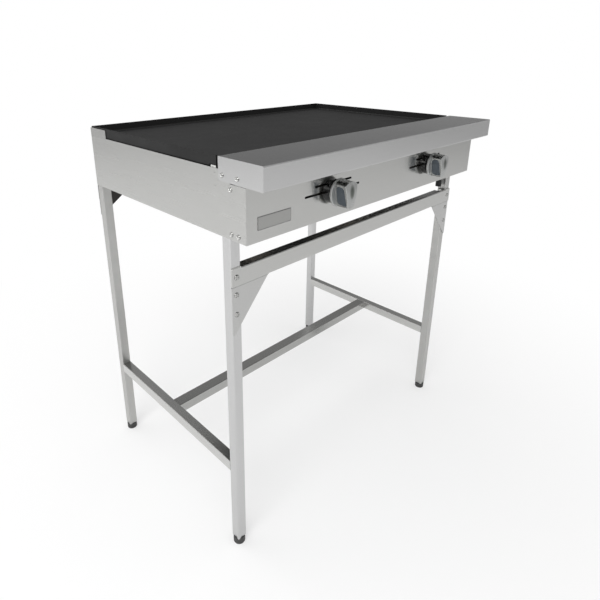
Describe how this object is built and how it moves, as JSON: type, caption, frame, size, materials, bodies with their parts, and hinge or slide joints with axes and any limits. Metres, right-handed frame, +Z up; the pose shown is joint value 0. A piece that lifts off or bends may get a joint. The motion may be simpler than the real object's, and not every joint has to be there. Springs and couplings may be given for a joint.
{
  "type": "gas griddle",
  "caption": "Flat-top gas griddle on a square-tube stand: black steel tray with a grease gutter in a stainless box, push-and-turn knobs, tube burners below.",
  "frame": {"origin": "on the floor under the middle of the whole object", "axes": "+Z up, front towards -Y, +X to the right of someone who looks at the back from the front"},
  "size_m": [0.8056, 0.6054, 0.875],
  "materials": {
    "stainless_tube": "satin",
    "stainless_sheet": "satin",
    "zinc_fasteners": "bright",
    "foot_plastic": "matte",
    "black_griddle_steel": "satin",
    "badge_metal": "satin",
    "gas_pipe": "satin",
    "plated_steel": "satin",
    "burner_steel": "satin",
    "brass": "turned",
    "bezel_plastic": "gloss",
    "stem_steel": "turned",
    "knob_chrome": "polished",
    "inlay_plastic": "matte"
  },
  "bodies": {
    "griddle": {"front_left_leg": "stainless_tube", "front_left_gusset": "stainless_tube", "front_left_leg_clip": "stainless_tube", "front_right_leg": "stainless_tube", "front_right_gusset": "stainless_tube", "front_right_leg_clip": "stainless_tube", "rear_left_leg": "stainless_tube", "rear_left_gusset": "stainless_tube", "rear_left_leg_clip": "stainless_tube", "rear_right_leg": "stainless_tube", "rear_right_gusset": "stainless_tube", "rear_right_leg_clip": "stainless_tube", "left_stretcher": "stainless_tube", "right_stretcher": "stainless_tube", "centre_stretcher": "stainless_tube", "front_rail": "stainless_tube", "rear_rail": "stainless_tube", "left_side_panel": "stainless_sheet", "right_side_panel": "stainless_sheet", "front_panel": "stainless_sheet", "rear_panel": "stainless_sheet", "front_cap": "stainless_sheet", "stand_bolts": "zinc_fasteners", "body_screws": "zinc_fasteners", "front_left_foot": "foot_plastic", "front_right_foot": "foot_plastic", "rear_left_foot": "foot_plastic", "rear_right_foot": "foot_plastic", "griddle_plate": "black_griddle_steel", "grease_spout": "black_griddle_steel", "heat_shield": "black_griddle_steel", "badge_plate": "badge_metal", "gas_manifold": "gas_pipe", "manifold_plug": "gas_pipe", "gas_inlet": "gas_pipe", "manifold_brackets": "plated_steel", "front_burner_bar": "plated_steel", "rear_burner_bar": "plated_steel", "left_burner": "burner_steel", "right_burner": "burner_steel", "left_valve": "brass", "right_valve": "brass", "left_injector": "brass", "right_injector": "brass", "left_bezel": "bezel_plastic", "right_bezel": "bezel_plastic"},
    "left_push": {"left_push_washer": "stem_steel"},
    "left_turn": {"left_valve_stem": "stem_steel", "left_knob": "knob_chrome", "left_knob_inlays": "inlay_plastic"},
    "left_shutter": {"left_air_shutter": "burner_steel"},
    "right_push": {"right_push_washer": "stem_steel"},
    "right_turn": {"right_valve_stem": "stem_steel", "right_knob": "knob_chrome", "right_knob_inlays": "inlay_plastic"},
    "right_shutter": {"right_air_shutter": "burner_steel"}
  },
  "joints": [
    {"name": "left_knob_push", "type": "slide", "parent": "griddle", "child": "left_push", "axis": [0, 1, 0], "range_m": [0, 0.003], "stiffness_N_per_m": 800, "springref_m": -0.002},
    {"name": "left_knob_turn", "type": "hinge", "parent": "left_push", "child": "left_turn", "pos_m": [-0.177, -0.2577, 0.786], "axis": [0, -1, 0], "range_deg": [0, 200]},
    {"name": "left_shutter_turn", "type": "hinge", "parent": "griddle", "child": "left_shutter", "pos_m": [-0.177, -0.1847, 0.786], "axis": [0, 1, 0], "range_deg": [0, 90]},
    {"name": "right_knob_push", "type": "slide", "parent": "griddle", "child": "right_push", "axis": [0, 1, 0], "range_m": [0, 0.003], "stiffness_N_per_m": 800, "springref_m": -0.002},
    {"name": "right_knob_turn", "type": "hinge", "parent": "right_push", "child": "right_turn", "pos_m": [0.177, -0.2577, 0.786], "axis": [0, -1, 0], "range_deg": [0, 200]},
    {"name": "right_shutter_turn", "type": "hinge", "parent": "griddle", "child": "right_shutter", "pos_m": [0.177, -0.1847, 0.786], "axis": [0, 1, 0], "range_deg": [0, 90]}
  ]
}
